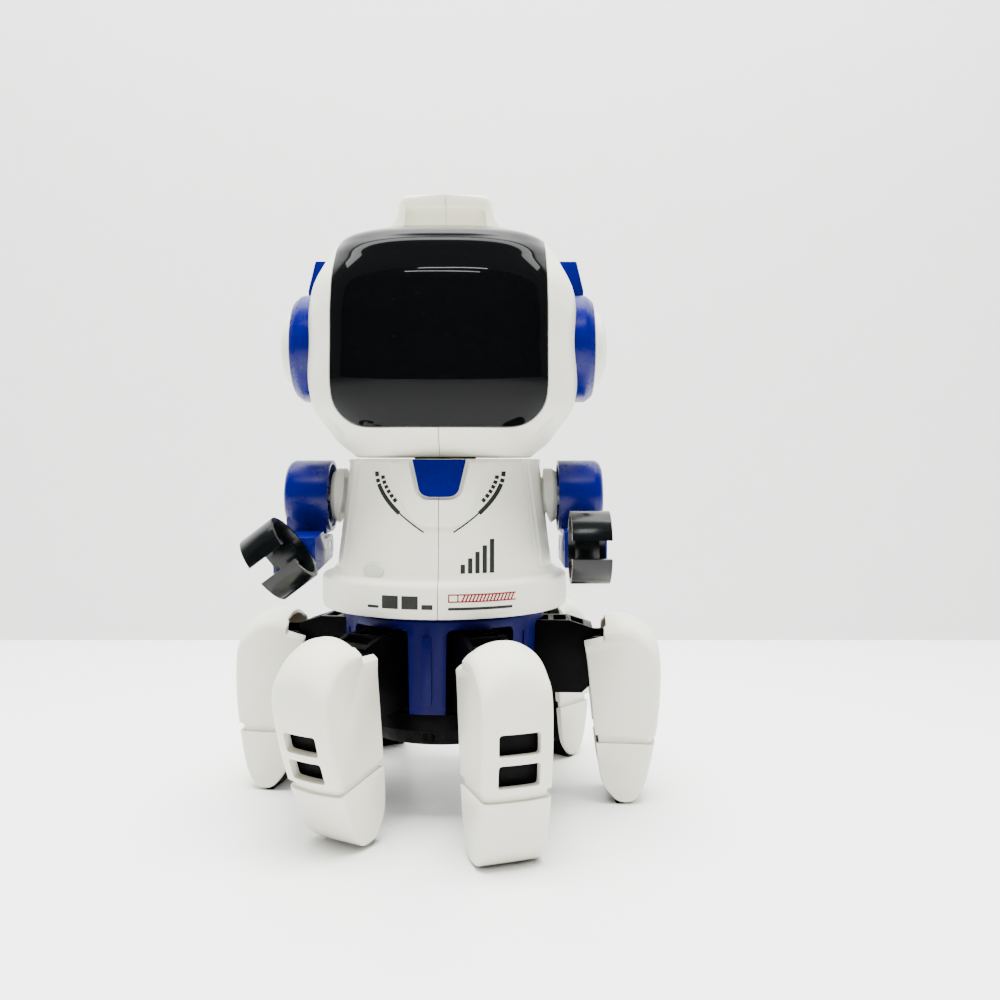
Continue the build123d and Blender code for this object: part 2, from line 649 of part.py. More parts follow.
def carrier_arm(hub_low, hub_high):
    """One ladder-like arm along +X, from the hub to the leg's hinge pin."""
    half = ARM_WIDTH / 2
    neck = span_box((8, -3, hub_low), (ARM_START_RADIUS + 1, 3, hub_high))
    body = side_prism(
        [(ARM_START_RADIUS, ARM_BOTTOM_Z), (ARM_START_RADIUS, ARM_TOP_Z), (40, ARM_TOP_Z),
         (ARM_END_RADIUS, 54.6), (ARM_END_RADIUS, 37.5), (44, ARM_BOTTOM_Z)],
        half,
    )
    bays = 4
    pitch = (ARM_END_RADIUS - ARM_START_RADIUS - 4) / bays
    for bay in range(bays):
        start = ARM_START_RADIUS + 2 + bay * pitch
        body -= span_box((start + 0.8, -half + 1.6, 49.5), (start + pitch - 0.8, half - 1.6, 60))
    side = ARM_TONGUE_WIDTH / 2
    tongue = span_box(
        (ARM_END_RADIUS - 1, -side, LEG_PIVOT_Z - 4.2), (LEG_PIVOT_RADIUS, side, LEG_PIVOT_Z + 4.2)
    )
    tongue += rod(4.2, -side - 0.8, side + 0.8, "Y", (LEG_PIVOT_RADIUS, LEG_PIVOT_Z))
    arm = neck + body + tongue
    return arm - rod(LEG_PIN_RADIUS + 0.02, -20, 20, "Y", (LEG_PIVOT_RADIUS, LEG_PIVOT_Z))


def carrier(hub_low, hub_high, indices):
    angles = [leg_azimuth(i) for i in indices]
    hub = rod(11.0, hub_low, hub_high)
    body = hub.fuse(*ring_of(carrier_arm(hub_low, hub_high), angles))
    body -= rod(COLUMN_RADIUS + RUNNING_FIT, 20, 70)
    pin = rod(LEG_PIN_RADIUS, -LEG_WIDTH / 2 + 1.8, LEG_WIDTH / 2 - 1.8, "Y", (LEG_PIVOT_RADIUS, LEG_PIVOT_Z))
    return body, solids(*ring_of(pin, angles))


def shifted(points, dx, dz):
    return [(x + dx, z + dz) for x, z in points]


def inset_outline(amount):
    """Face of the leg's side outline shrunk by an amount, in the plane Y = 0."""
    outline = Polyline(*[(FOOT_RADIUS + x, z) for x, z in LEG_OUTLINE], close=True)
    face = make_face(outline)
    if amount:
        face = offset(face, amount=-amount, kind=Kind.INTERSECTION)
    return face


def leg_slab(amount, half_width, dx=0.0):
    """The leg's side outline shrunk by an amount and made a slab across its width."""
    slab = extrude(inset_outline(amount), amount=half_width, both=True)
    return Pos(dx, 0, 0) * Rot(90, 0, 0) * slab


def leg_pieces():
    """Cover and inner frame of one leg standing upright along +X."""
    half = LEG_WIDTH / 2
    inner_half = half - LEG_WALL
    cover = leg_slab(0, half)
    groove = leg_slab(-3, half + 3) - leg_slab(1.2, half - 1.2)
    groove &= span_box((0, -30, FOOT_GROOVE[0]), (100, 30, FOOT_GROOVE[1]))
    cover -= groove
    cavity = leg_slab(LEG_WALL + 1.3, inner_half)
    for dx in (-2.5, -5.0):
        cavity += leg_slab(LEG_WALL + 1.3, inner_half, dx)
    cover -= cavity
    cover -= span_box((FOOT_RADIUS - 8, -inner_half, -2), (FOOT_RADIUS + 3.0, inner_half, 6))
    cover -= span_box((FOOT_RADIUS - 14, -7.6, 40), (FOOT_RADIUS - 6.2, 7.6, 64))
    for low, high in WINDOWS:
        window = span_box(
            (FOOT_RADIUS + 6, -WINDOW_HALF_WIDTH, low), (FOOT_RADIUS + 20, WINDOW_HALF_WIDTH, high)
        )
        cover -= fillet(window.edges().filter_by(Axis.X), 0.9)

    frame_half = inner_half - 0.1
    cheek_inner = frame_half - 1.3
    frame = leg_slab(LEG_WALL + 1.5, frame_half)
    frame += leg_slab(LEG_WALL + 1.5, frame_half, -2.6)
    hollow_top = span_box((0, -cheek_inner, 27.0), (FOOT_RADIUS + 5.8, cheek_inner, 70))
    hollow_top += span_box((0, -cheek_inner, 38.0), (100, cheek_inner, 70))
    hollow_low = leg_slab(LEG_WALL + 3.0, cheek_inner, -1.6)
    hollow_low &= span_box((0, -30, 6), (FOOT_RADIUS + 5.5, 30, 30))
    frame -= hollow_top
    frame -= hollow_low
    frame -= span_box((0, -30, 52.0), (100, 30, 70))
    tread = side_prism(
        [(FOOT_RADIUS - 4.2, 5.5), (FOOT_RADIUS - 1.6, 0), (FOOT_RADIUS + 0.6, 0),
         (FOOT_RADIUS + 2.6, 1.6), (FOOT_RADIUS + 2.6, 5.5)],
        frame_half,
    )
    frame += tread
    frame -= rod(LEG_PIN_RADIUS + RUNNING_FIT, -20, 20, "Y", (LEG_PIVOT_RADIUS, LEG_PIVOT_Z))
    return cover, frame


def all_legs():
    cover, frame = leg_pieces()
    pivot = Pos(LEG_PIVOT_RADIUS, 0, LEG_PIVOT_Z)
    pieces = {}
    for name, (index, tilt) in LEGS.items():
        place = Rot(0, 0, leg_azimuth(index)) * pivot * Rot(0, tilt, 0) * pivot.inverse()
        pieces[f"{name}_cover"] = place * cover
        pieces[f"{name}_frame"] = place * frame
    return pieces


def build():
    pieces = {}
    pieces.update(head_pieces())
    pieces.update(torso_pieces())
    pieces.update(drive_pieces())
    pieces.update(both_arms())
    pieces.update(pelvis_pieces())
    pieces["leg_carrier_a"], pieces["leg_pins_a"] = carrier(46.2, 56.0, (0, 2, 4))
    pieces["leg_carrier_b"], pieces["leg_pins_b"] = carrier(35.0, 45.6, (1, 3, 5))
    pieces.update(all_legs())
    return pieces


os.makedirs("parts", exist_ok=True)
for name, shape in build().items():
    export_step(shape, f"parts/{name}.step")
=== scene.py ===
import json
from math import acos, asin, atan2, cos, pi, radians, sin, sqrt

import bmesh
import bpy
import numpy as np
from mathutils import Matrix, Vector


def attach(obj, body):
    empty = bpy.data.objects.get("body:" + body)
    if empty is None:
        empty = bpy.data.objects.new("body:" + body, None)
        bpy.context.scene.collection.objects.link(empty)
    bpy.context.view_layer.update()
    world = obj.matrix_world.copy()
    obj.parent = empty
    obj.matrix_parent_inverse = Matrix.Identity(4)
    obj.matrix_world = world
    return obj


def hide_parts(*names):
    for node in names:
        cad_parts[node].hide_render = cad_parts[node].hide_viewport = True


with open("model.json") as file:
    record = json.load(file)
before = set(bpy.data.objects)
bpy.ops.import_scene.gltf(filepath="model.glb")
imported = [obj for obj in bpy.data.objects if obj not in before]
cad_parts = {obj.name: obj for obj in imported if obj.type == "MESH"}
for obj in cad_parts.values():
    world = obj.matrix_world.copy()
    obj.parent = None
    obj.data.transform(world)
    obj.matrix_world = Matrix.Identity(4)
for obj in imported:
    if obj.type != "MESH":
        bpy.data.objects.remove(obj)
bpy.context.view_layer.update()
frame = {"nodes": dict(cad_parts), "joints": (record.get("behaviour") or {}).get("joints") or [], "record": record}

MM = 0.001
LEGS = (
    "leg_front_left", "leg_middle_left", "leg_rear_left",
    "leg_rear_right", "leg_middle_right", "leg_front_right",
)

# Head form in millimetres: height, half width and half depth.
HEAD_CENTRE = np.array([0.0, -2.0, 143.5])
HEAD_SECTIONS = np.array([
    (108.6, 27.5, 25.4), (112.8, 32.8, 30.7), (117.5, 36.4, 34.5), (123.2, 40.6, 37.0),
    (129.0, 42.1, 38.3), (143.5, 42.3, 38.6), (155.0, 42.1, 37.8), (161.8, 40.8, 36.3),
    (167.6, 38.0, 33.4), (173.0, 34.6, 29.6), (177.2, 30.6, 23.4), (179.7, 24.4, 15.0),
    (181.2, 17.0, 8.6), (181.9, 0.5, 0.5),
])
HEAD_SQUARENESS = 2.7
VISOR_TILT = radians(16)
VISOR_BACK_Y = -11.0
VISOR_HALF_WIDTH = 31.9
VISOR_BOTTOM_Z = 117.2
VISOR_CORNER = 11.0
HANDLE_Y = 7.0
HANDLE_HALF_DEPTH = 6.0
HANDLE_RECESS = 3.0
EAR_STEPS = 128

# Torso form in millimetres.
TORSO_TOP_Z = 108.0
BELT_TOP_Z = 72.0
BELT_BOTTOM_Z = 62.0
NECK_RADIUS = 31.6
TORSO_BASE_RADIUS = 35.9
BELT_RADIUS = 39.2
DOOR_HALF_WIDTH = 25.0
DOOR_HEIGHTS = (74.0, 101.0)
SWITCH_HALF_WIDTH = 4.6
SWITCH_HEIGHTS = (102.2, 105.0)
# Mesh columns from the front seam to the door, on to the switch, and on to the back seam.
DOOR_COLUMNS = 330
SWITCH_COLUMNS = 72
BACK_COLUMNS = 14
SEAM_GAP = 0.1
SEAM_ROUNDING = 0.6

# Leg form in millimetres: outward from the foot's contact point, and up.
FOOT_RADIUS = 57.5
LEG_PIVOT = (56.5, 45.0)
LEG_HALF_WIDTH = 10.0
LEG_WALL = 1.6
LEG_MOST_TILT = 14.0
LEG_TOP_FALL = 4.6
LEG_FACE_CROWN = 1.2
FOOT_GROOVE = (19.0, 21.6)
GROOVE_DEPTH = 0.95
WINDOWS = ((22.9, 29.1), (31.2, 37.1))


# ---------------------------------------------------------------- materials


FLAT_POINTINESS = 0.5
MOST_WEAR = 0.16


class Graph:
    """A short way to write shader nodes."""

    def __init__(self, name):
        self.material = bpy.data.materials.new(name)
        self.material.use_nodes = True
        self.tree = self.material.node_tree
        self.shader = self.tree.nodes["Principled BSDF"]
        self.place = self.node("ShaderNodeTexCoord").outputs["Object"]

    def node(self, kind, **inputs):
        made = self.tree.nodes.new(kind)
        for key, value in inputs.items():
            self.feed(made.inputs[key.replace("_", " ")], value)
        return made

    def feed(self, socket, value):
        if isinstance(value, bpy.types.NodeSocket):
            self.tree.links.new(value, socket)
        else:
            socket.default_value = value

    def noise(self, scale, detail=3.0, roughness=0.55):
        made = self.node(
            "ShaderNodeTexNoise", Vector=self.place, Scale=scale, Detail=detail, Roughness=roughness
        )
        return made.outputs["Fac"]

    def spread(self, value, low, high):
        """Map a noise value's middle half to low..high."""
        made = self.node("ShaderNodeMapRange", Value=value)
        made.inputs["From Min"].default_value = 0.25
        made.inputs["From Max"].default_value = 0.75
        made.inputs["To Min"].default_value = low
        made.inputs["To Max"].default_value = high
        return made.outputs["Result"]

    def mix(self, factor, first, second):
        made = self.node("ShaderNodeMix")
        made.data_type = "RGBA"
        self.feed(made.inputs["Factor"], factor)
        self.feed(made.inputs[6], first)
        self.feed(made.inputs[7], second)
        return made.outputs[2]

    def edges(self):
        """Light wear on outer edges, from the surface's pointiness."""
        geometry = self.node("ShaderNodeNewGeometry")
        made = self.node("ShaderNodeMapRange", Value=geometry.outputs["Pointiness"])
        made.inputs["From Min"].default_value = FLAT_POINTINESS + 0.3 / 12.0
        made.inputs["From Max"].default_value = FLAT_POINTINESS + 1.6 / 12.0
        made.inputs["To Max"].default_value = MOST_WEAR
        return made.outputs["Result"]

    def bump(self, height, strength, distance):
        made = self.node("ShaderNodeBump", Strength=strength, Distance=distance, Height=height)
        self.feed(self.shader.inputs["Normal"], made.outputs["Normal"])


def tone(red, green, blue):
    """Linear colour from the 0..255 values a screen shows."""
    linear = []
    for value in (red, green, blue):
        share = value / 255
        linear.append(((share + 0.055) / 1.055) ** 2.4 if value > 10 else share / 12.92)
    return (*linear, 1)


def darker(colour, share):
    return tuple(c * share for c in colour[:3]) + (1,)


def plastic(name, colour, rough, grain=0.05, shade=0.93, worn=None, gloss=0.0, subsurface=0.0, shine=0.5):
    """Moulded plastic: faint mottling, uneven sheen, fine grain, rubbed edges."""
    graph = Graph(name)
    shader = graph.shader
    body = graph.mix(graph.spread(graph.noise(55.0), 0.0, 1.0), colour, darker(colour, shade))
    body = graph.mix(graph.edges(), body, worn or colour)
    graph.feed(shader.inputs["Base Color"], body)
    uneven = graph.spread(graph.noise(140.0, 4.0), rough * 0.82, rough * 1.2)
    graph.feed(shader.inputs["Roughness"], uneven)
    graph.bump(graph.noise(2600.0, 2.0), grain, 0.00008)
    shader.inputs["Specular IOR Level"].default_value = shine
    shader.inputs["Coat Weight"].default_value = gloss
    shader.inputs["Coat Roughness"].default_value = 0.08
    shader.inputs["Subsurface Weight"].default_value = subsurface
    shader.inputs["Subsurface Scale"].default_value = 0.002
    return graph.material


def metal(name, colour, rough):
    """Bare metal with an uneven, brushed look."""
    graph = Graph(name)
    shader = graph.shader
    body = graph.mix(graph.spread(graph.noise(300.0), 0, 1), colour, darker(colour, 0.7))
    graph.feed(shader.inputs["Base Color"], body)
    graph.feed(shader.inputs["Roughness"], graph.spread(graph.noise(700.0), rough * 0.7, rough * 1.4))
    shader.inputs["Metallic"].default_value = 1.0
    graph.bump(graph.noise(1800.0), 0.1, 0.00005)
    return graph.material


def visor_material():
    """Smoked polished plastic with dust and fine rubbing marks."""
    graph = Graph("visor_smoked")
    shader = graph.shader
    dust = graph.node("ShaderNodeTexVoronoi", Vector=graph.place, Scale=420.0)
    specks = graph.node("ShaderNodeMapRange", Value=dust.outputs["Distance"])
    specks.inputs["From Min"].default_value = 0.045
    specks.inputs["From Max"].default_value = 0.02
    patchy = graph.node("ShaderNodeMath")
    patchy.operation = "MULTIPLY"
    graph.feed(patchy.inputs[0], specks.outputs["Result"])
    graph.feed(patchy.inputs[1], graph.spread(graph.noise(60.0), 0.0, 0.15))
    speck = patchy.outputs["Value"]
    graph.feed(shader.inputs["Base Color"], graph.mix(speck, (0.0015, 0.0017, 0.002, 1), (0.3, 0.3, 0.32, 1)))
    graph.feed(shader.inputs["Roughness"], graph.spread(graph.noise(90.0, 5.0), 0.025, 0.06))
    shader.inputs["IOR"].default_value = 1.5
    shader.inputs["Specular IOR Level"].default_value = 0.12
    graph.bump(graph.noise(45.0, 1.0), 0.02, 0.0002)
    return graph.material


WHITE = plastic("white_shell", tone(228, 227, 211), 0.34, 0.04, 0.97, tone(236, 235, 221), subsurface=0.05)
GREY = plastic("grey_moulding", tone(196, 197, 186), 0.4, 0.05, 0.95)
BLUE = plastic("blue_moulding", tone(0, 0, 92), 0.28, 0.03, 0.85, tone(4, 6, 112), shine=0.22)
PELVIS_BLUE = plastic("blue_drum", tone(0, 0, 72), 0.42, 0.06, 0.85, tone(2, 4, 90), shine=0.1)
BLACK = plastic("black_moulding", tone(3, 3, 4), 0.42, 0.1, 0.7, tone(10, 10, 11), shine=0.04)
CLAW = plastic("black_claw", tone(4, 6, 6), 0.2, 0.04, 0.8, tone(16, 19, 20), shine=0.3)
INSIDE = plastic("shell_inside", tone(205, 203, 186), 0.5, 0.05, 0.92)
PRINT = plastic("dark_print", tone(34, 35, 34), 0.45, 0.02, 0.85, shine=0.2)
RED_PRINT = plastic("red_print", tone(128, 0, 8), 0.45, 0.02, 0.85, shine=0.2)
BOARD = plastic("board_green", tone(20, 92, 52), 0.35, 0.1, 0.7)
NYLON = plastic("gear_nylon", tone(225, 222, 205), 0.45, 0.05, 0.9)
WRAP = plastic("cell_sleeve", tone(38, 60, 84), 0.25, 0.03, 0.7, gloss=0.3)
PAPER = plastic("speaker_cone", tone(40, 38, 36), 0.7, 0.3, 0.7)
STEEL = metal("plated_steel", (0.62, 0.62, 0.64, 1), 0.3)
BRASS = metal("brass", (0.72, 0.53, 0.24, 1), 0.3)
VISOR = visor_material()

SLOT_LOOKS = {
    "white_plastic": WHITE, "grey_plastic": GREY, "blue_plastic": BLUE, "black_plastic": BLACK,
    "claw_plastic": CLAW, "visor_plastic": VISOR, "steel": STEEL, "brass": BRASS,
    "cell_wrap": WRAP, "board": BOARD, "gear_plastic": NYLON, "speaker_paper": PAPER,
}
NODE_SLOT = {part["node"]: part["material_slot"] for part in frame["record"]["subparts"]}
NODE_BODY = {node: body for body, nodes in frame["record"]["behaviour"]["bodies"].items() for node in nodes}


# ---------------------------------------------------------------- mesh helpers


def smooth_by_angle(mesh, degrees=35.0):
    """Shade faces smooth and keep edges sharper than an angle crisp."""
    work = bmesh.new()
    work.from_mesh(mesh)
    for face in work.faces:
        face.smooth = True
    for edge in work.edges:
        if len(edge.link_faces) == 2:
            edge.smooth = edge.calc_face_angle(0.0) < radians(degrees)
    work.to_mesh(mesh)
    work.free()


def mesh_object(name, verts, faces, material):
    """A mesh object from points in millimetres."""
    mesh = bpy.data.meshes.new(name)
    mesh.from_pydata([tuple(c * MM for c in v) for v in verts], [], faces)
    mesh.materials.append(material)
    mesh.update()
    obj = bpy.data.objects.new(name, mesh)
    bpy.context.scene.collection.objects.link(obj)
    return obj


def bake(obj):
    """Apply the modifiers to the object's own mesh."""
    bpy.context.view_layer.update()
    graph = bpy.context.evaluated_depsgraph_get()
    baked = bpy.data.meshes.new_from_object(obj.evaluated_get(graph))
    obj.modifiers.clear()
    obj.data = baked
    return obj


def thicken(obj, amount, inside=None):
    """Give a sheet a wall on its inner side, with its own material inside."""
    wall = obj.modifiers.new("wall", "SOLIDIFY")
    wall.thickness = amount * MM
    wall.offset = -1
    if inside:
        obj.data.materials.append(inside)
        wall.material_offset = 1
    return bake(obj)


def round_edges(obj, width, degrees=40.0, segments=3):
    """Round the edges that are sharper than an angle."""
    bevel = obj.modifiers.new("rounding", "BEVEL")
    bevel.width = width * MM
    bevel.segments = segments
    bevel.limit_method = "ANGLE"
    bevel.angle_limit = radians(degrees)
    return bake(obj)


def cut(obj, tool):
    """Take a tool object's shape away, and the tool with it."""
    boolean = obj.modifiers.new("cut", "BOOLEAN")
    boolean.operation = "DIFFERENCE"
    boolean.solver = "EXACT"
    boolean.object = tool
    bake(obj)
    bpy.data.objects.remove(tool)
    return obj


def finish(obj, body, replaced=(), degrees=35.0):
    """Shade a piece, put it on its body, and hide the named CAD nodes it stands for."""
    smooth_by_angle(obj.data, degrees)
    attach(obj, body)
    if replaced:
        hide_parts(*replaced)
    return obj


def grid_faces(rows, columns, closed=False):
    """Quads between rows of points, joined round when closed."""
    faces = []
    last = columns if closed else columns - 1
    for i in range(rows - 1):
        for j in range(last):
            k = (j + 1) % columns
            faces.append((i * columns + j, i * columns + k, (i + 1) * columns + k, (i + 1) * columns + j))
    return faces


def facing_out(obj, centre):
    """Turn the normals away from a point inside."""
    work = bmesh.new()
    work.from_mesh(obj.data)
    bmesh.ops.recalc_face_normals(work, faces=work.faces)
    middle = Vector(c * MM for c in centre)
    score = sum(f.normal.dot(f.calc_center_median() - middle) * f.calc_area() for f in work.faces)
    if score < 0:
        bmesh.ops.reverse_faces(work, faces=work.faces)
    work.to_mesh(obj.data)
    work.free()
    return obj


def fillet_path(points, radii, steps=6, closed=False):
    """A 2D path with its corners rounded by arcs."""
    path = []
    count = len(points)
    for i, (point, radius) in enumerate(zip(points, radii)):
        here = np.array(point, float)
        if radius <= 0 or (not closed and i in (0, count - 1)):
            path.append(tuple(here))
            continue
        before = np.array(points[i - 1], float) - here
        after = np.array(points[(i + 1) % count], float) - here
        in_length = np.linalg.norm(before)
        out_length = np.linalg.norm(after)
        before /= in_length
        after /= out_length
        half = acos(max(-1.0, min(1.0, float(before @ after)))) / 2
        reach = min(radius / np.tan(half), in_length * 0.48, out_length * 0.48)
        start = here + before * reach
        end = here + after * reach
        for step in range(steps + 1):
            t = step / steps
            path.append(tuple((1 - t) ** 2 * start + 2 * t * (1 - t) * here + t * t * end))
    return path


def flowing_path(points, corners=(), per=5):
    """A closed smooth path through points, sharp only at the named corners."""
    count = len(points)
    pts = [np.array(p, float) for p in points]
    path = []
    for i in range(count):
        p1 = pts[i]
        p2 = pts[(i + 1) % count]
        p0 = pts[i - 1] if i not in corners else p1 - (p2 - p1)
        p3 = pts[(i + 2) % count] if (i + 1) % count not in corners else p2 + (p2 - p1)
        for step in range(per):
            t = step / per
            path.append(tuple(0.5 * (
                2 * p1 + (p2 - p0) * t + (2 * p0 - 5 * p1 + 4 * p2 - p3) * t * t
                + (3 * p1 - p0 - 3 * p2 + p3) * t ** 3
            )))
    return path


def unit(vectors):
    return vectors / np.linalg.norm(vectors, axis=1)[:, None]


def slab(name, outline, half_width, rounding, material, steps=4, weights=None, across=0):
    """A slab across Y from a closed (x, z) outline, its long edges rounded, with rows across it."""
    pts = np.array(outline, float)
    ahead = np.roll(pts, -1, 0) - pts
    behind = pts - np.roll(pts, 1, 0)
    tangent = unit(ahead) + unit(behind)
    tangent /= np.linalg.norm(tangent, axis=1)[:, None]
    area = np.sum(pts[:, 0] * np.roll(pts[:, 1], -1) - np.roll(pts[:, 0], -1) * pts[:, 1])
    normal = np.stack([tangent[:, 1], -tangent[:, 0]], 1) * np.sign(area)
    weights = np.ones(len(pts)) if weights is None else np.asarray(weights)
    rows = []
    for step in range(steps + 1):
        angle = pi / 2 * step / steps
        inset = rounding * (1 - sin(angle)) * weights
        rows.append((pts - normal * inset[:, None], half_width - rounding * (1 - cos(angle))))
    for step in range(across, 0, -1):
        rows.append((pts, (half_width - rounding) * step / (across + 1)))
    levels = [(row, y) for row, y in rows] + [(row, -y) for row, y in reversed(rows)]
    verts = [(x, y, z) for row, y in levels for x, z in row]
    count = len(pts)
    faces = grid_faces(len(levels), count, closed=True)
    faces.append(tuple(range(count)))
    faces.append(tuple(range(len(verts) - 1, len(verts) - count - 1, -1)))
    obj = mesh_object(name, verts, faces, material)
    return facing_out(obj, (pts[:, 0].mean(), 0, pts[:, 1].mean()))


def block(low, high, rounding=0.0):
    """A box with optional rounded edges, in millimetres."""
    xs, ys, zs = zip(low, high)
    verts = [(x, y, z) for x in xs for y in ys for z in zs]
    faces = [(0, 1, 3, 2), (4, 6, 7, 5), (0, 4, 5, 1), (2, 3, 7, 6), (0, 2, 6, 4), (1, 5, 7, 3)]
    obj = facing_out(mesh_object("tool", verts, faces, BLACK), [(a + b) / 2 for a, b in zip(low, high)])
    return round_edges(obj, rounding) if rounding else obj


def lathe(name, profile, material, steps=96, axis="Z", centre=(0, 0, 0)):
    """A turned piece from (radius, height) points, about Z or X through a centre."""
    verts = []
    for radius, height in profile:
        for step in range(steps):
            angle = 2 * pi * step / steps
            a = radius * cos(angle)
            b = radius * sin(angle)
            spot = (height, a, b) if axis == "X" else (a, b, height)
            verts.append(tuple(c + s for c, s in zip(centre, spot)))
    faces = grid_faces(len(profile), steps, closed=True)
    faces.append(tuple(range(steps)))
    faces.append(tuple(range(len(verts) - 1, len(verts) - steps - 1, -1)))
    obj = mesh_object(name, verts, faces, material)
    heights = [h for _, h in profile]
    middle = (min(heights) + max(heights)) / 2
    inside = (centre[0] + middle, *centre[1:]) if axis == "X" else (*centre[:2], centre[2] + middle)
    return facing_out(obj, inside)


def shift(x, y, z):
    """A move in millimetres."""
    return Matrix.Translation((x * MM, y * MM, z * MM))


def moved(obj, matrix):
    """Move the object's own mesh."""
    obj.data.transform(matrix)
    obj.data.update()
    return obj


# ---------------------------------------------------------------- carried-over CAD pieces


def refined(node, bevel, material=None):
    """The CAD piece's own shape with moulded, rounded edges."""
    source = frame["nodes"][node]
    mesh = source.data.copy()
    work = bmesh.new()
    work.from_mesh(mesh)
    bmesh.ops.remove_doubles(work, verts=work.verts, dist=2e-6)
    bmesh.ops.dissolve_limit(work, angle_limit=radians(0.8), verts=work.verts, edges=work.edges)
    work.to_mesh(mesh)
    work.free()
    mesh.materials.clear()
    mesh.materials.append(material or SLOT_LOOKS[NODE_SLOT[node]])
    obj = bpy.data.objects.new(node + "_moulded", mesh)
    bpy.context.scene.collection.objects.link(obj)
    round_edges(obj, bevel, 28.0, 2)
    return finish(obj, NODE_BODY[node], (node,), 30.0)


def dress_cad_nodes():
    """Materials on every CAD node, for those that keep their own mesh."""
    for node, obj in frame["nodes"].items():
        obj.data.materials.clear()
        obj.data.materials.append(SLOT_LOOKS[NODE_SLOT[node]])
        smooth_by_angle(obj.data, 30.0)


# ---------------------------------------------------------------- head


def head_size(z):
    """Half width and half depth of the head at a height, eased between the sections."""
    heights = HEAD_SECTIONS[:, 0]
    index = np.clip(np.searchsorted(heights, z) - 1, 0, len(heights) - 2)
    span = heights[index + 1] - heights[index]
    t = np.clip((z - heights[index]) / span, 0, 1)
    sizes = []
    for column in (1, 2):
        values = HEAD_SECTIONS[:, column]
        slopes = np.gradient(values, heights)
        slopes[-1] = -24.0
        v = values[index]
        w = values[index + 1]
        sizes.append(
            v * (1 + 2 * t) * (1 - t) ** 2 + slopes[index] * span * t * (1 - t) ** 2
            + w * t * t * (3 - 2 * t) + slopes[index + 1] * span * t * t * (t - 1)
        )
    return np.maximum(sizes[0], 0.3), np.maximum(sizes[1], 0.3)


def head_inside(points):
    """Whether points lie within the head's form."""
    z = points[..., 2]
    wide, deep = head_size(z)
    x = np.abs(points[..., 0]) / wide
    y = np.abs(points[..., 1] - HEAD_CENTRE[1]) / deep
    within = x ** HEAD_SQUARENESS + y ** HEAD_SQUARENESS < 1
    return within & (z < HEAD_SECTIONS[-1, 0]) & (z > HEAD_SECTIONS[0, 0])


def head_hit(directions):
    """Where rays from the head's centre leave it."""
    near = np.zeros(directions.shape[:-1])
    far = np.full(directions.shape[:-1], 75.0)
    for _ in range(26):
        middle = (near + far) / 2
        inside = head_inside(HEAD_CENTRE + directions * middle[..., None])
        near = np.where(inside, middle, near)
        far = np.where(inside, far, middle)
    return HEAD_CENTRE + directions * near[..., None]


VISOR_AXIS = np.array([0, -cos(VISOR_TILT), sin(VISOR_TILT)])
VISOR_RIGHT = np.array([1.0, 0, 0])
VISOR_UP = np.array([0, sin(VISOR_TILT), cos(VISOR_TILT)])


def visor_edge():
    """Polar radius of the visor's rounded outline, for every direction round its axis."""
    side = [(0, VISOR_BOTTOM_Z)]
    for turn in np.linspace(0, pi / 2, 8):
        side.append((
            VISOR_HALF_WIDTH - VISOR_CORNER * (1 - sin(turn)),
            VISOR_BOTTOM_Z + VISOR_CORNER * (1 - cos(turn)),
        ))
    side += [(VISOR_HALF_WIDTH, 152), (31.6, 180)]
    points = []
    for (x0, z0), (x1, z1) in zip(side, side[1:]):
        for t in np.linspace(0, 1, 40, endpoint=False):
            x = x0 + (x1 - x0) * t
            z = z0 + (z1 - z0) * t
            wide, deep = head_size(np.array(z))
            y = HEAD_CENTRE[1] - deep * max(0.0, 1 - (x / wide) ** HEAD_SQUARENESS) ** (1 / HEAD_SQUARENESS)
            if y > VISOR_BACK_Y:
                break
            points.append((x, float(y), z))
    last_x = points[-1][0]
    for x in np.linspace(last_x, 0, 60):
        low, high = 150.0, 182.0
        for _ in range(30):
            z = (low + high) / 2
            if head_inside(np.array([x, VISOR_BACK_Y, z])):
                low = z
            else:
                high = z
        points.append((x, VISOR_BACK_Y, low))
    half = np.array(points)
    other = half[::-1] * np.array([-1, 1, 1])
    loop = np.concatenate([half, other[1:-1]])
    steps = np.linalg.norm(np.roll(loop, -1, 0) - loop, axis=1)
    travel = np.concatenate([[0], np.cumsum(steps)])
    closed = np.concatenate([loop, loop[:1]])
    even = np.linspace(0, travel[-1], 480, endpoint=False)
    loop = np.stack([np.interp(even, travel, closed[:, i]) for i in range(3)], 1)
    for _ in range(26):
        loop = (np.roll(loop, 1, 0) + loop * 2 + np.roll(loop, -1, 0)) / 4
    rays = loop - HEAD_CENTRE
    rays /= np.linalg.norm(rays, axis=1)[:, None]
    turn = np.arctan2(rays @ VISOR_UP, rays @ VISOR_RIGHT)
    reach = np.arccos(np.clip(rays @ VISOR_AXIS, -1, 1))
    order = np.argsort(turn)
    return turn[order], reach[order]


EDGE_TURN, EDGE_REACH = visor_edge()


def edge_reach(turn):
    """Polar radius of the visor's edge at a turn round its axis."""
    return np.interp(turn, EDGE_TURN, EDGE_REACH, period=2 * pi)


def polar_points(turn, reach):
    """Points on the head from a turn round the visor's axis and an angle away from it."""
    around = np.cos(turn)[..., None] * VISOR_RIGHT + np.sin(turn)[..., None] * VISOR_UP
    return head_hit(np.cos(reach)[..., None] * VISOR_AXIS + np.sin(reach)[..., None] * around)


